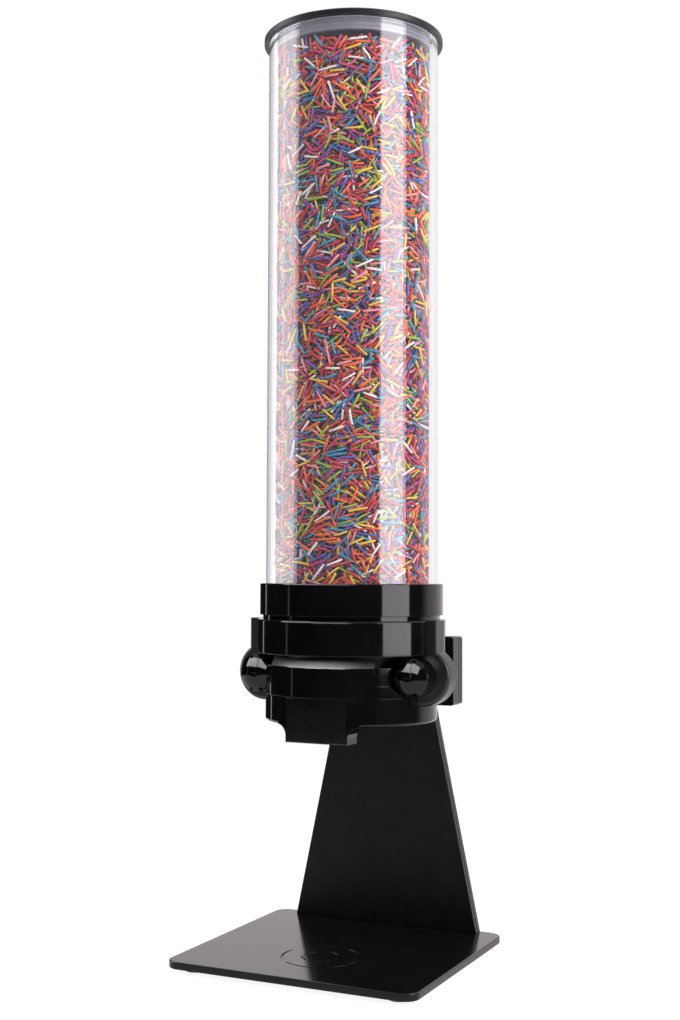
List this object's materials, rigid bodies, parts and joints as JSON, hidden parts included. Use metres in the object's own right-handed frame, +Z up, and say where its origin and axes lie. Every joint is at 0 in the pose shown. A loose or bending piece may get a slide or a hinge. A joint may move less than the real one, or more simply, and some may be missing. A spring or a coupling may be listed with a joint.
{
  "type": "candy dispenser",
  "caption": "Countertop candy dispenser: clear tube of sprinkles over a black head with a front push bar and spout, hung on a tapered upright with a flat base plate.",
  "frame": {"origin": "middle of the base plate's outline, on the floor under the rubber feet", "axes": "+Z up along the tube, -Y towards the user, who stands at the spout, +X to the user's right"},
  "size_m": [0.178, 0.166, 0.6411],
  "materials": {
    "coated_steel": "black powder coat with a fine orange-peel",
    "back_steel": "black powder coat, duller",
    "foot_rubber": "matt black rubber",
    "screw_steel": "plain steel",
    "dark_plastic": "matt black plastic",
    "gloss_black": "polished black plastic",
    "cover_black": "satin black plastic",
    "arm_black": "satin black plastic",
    "rod_steel": "ground steel",
    "spring_steel": "bright spring wire",
    "gate_steel": "brushed stainless steel",
    "clear_tube": "clear polished acrylic",
    "seal_rubber": "grey black silicone",
    "sprinkles": "mixed bright sugar colours",
    "lid_black": "black plastic, satin",
    "plug_grey": "grey plastic, satin"
  },
  "bodies": {
    "stand": {"base_plate": "coated_steel", "base_feet": "foot_rubber", "foot_screws": "screw_steel", "upright_front": "coated_steel", "upright_spacer": "dark_plastic", "upright_back": "back_steel", "upright_screws": "screw_steel", "rail_plate": "coated_steel", "rail_screws": "screw_steel"},
    "head": {"back_plate": "dark_plastic", "back_plate_screws": "screw_steel", "lower_housing": "gloss_black", "spout_cover": "cover_black", "mid_housing": "dark_plastic", "upper_housing": "gloss_black", "housing_screws": "screw_steel", "left_arm": "arm_black", "right_arm": "arm_black", "arm_screws": "screw_steel", "left_guide_rod": "rod_steel", "right_guide_rod": "rod_steel", "left_spring": "spring_steel", "right_spring": "spring_steel"},
    "push_bar": {"push_band": "gloss_black", "gate_link": "dark_plastic", "gate_plate": "gate_steel", "gate_screws": "screw_steel", "left_barrel": "gloss_black", "right_barrel": "gloss_black", "left_barrel_cap": "gloss_black", "right_barrel_cap": "gloss_black"},
    "canister": {"collar": "gloss_black", "tube": "clear_tube", "tube_seal": "seal_rubber", "hopper_funnel": "dark_plastic", "candy_fill": "sprinkles"},
    "lid": {"lid_cap": "lid_black", "lid_plug": "plug_grey", "lid_seal": "seal_rubber"}
  },
  "joints": [
    {"name": "head_lift", "type": "slide", "parent": "stand", "child": "head", "axis": [0, 0, 1], "range_m": [0, 0.06]},
    {"name": "push_slide", "type": "slide", "parent": "head", "child": "push_bar", "axis": [0, 1, 0], "range_m": [0, 0.012], "stiffness_N_per_m": 700, "springref_m": -0.01, "deforming": ["left_spring", "right_spring"]},
    {"name": "canister_lift", "type": "slide", "parent": "head", "child": "canister", "axis": [0, 0, 1], "range_m": [0, 0.05]},
    {"name": "lid_lift", "type": "slide", "parent": "canister", "child": "lid", "axis": [0, 0, 1], "range_m": [0, 0.05]}
  ]
}
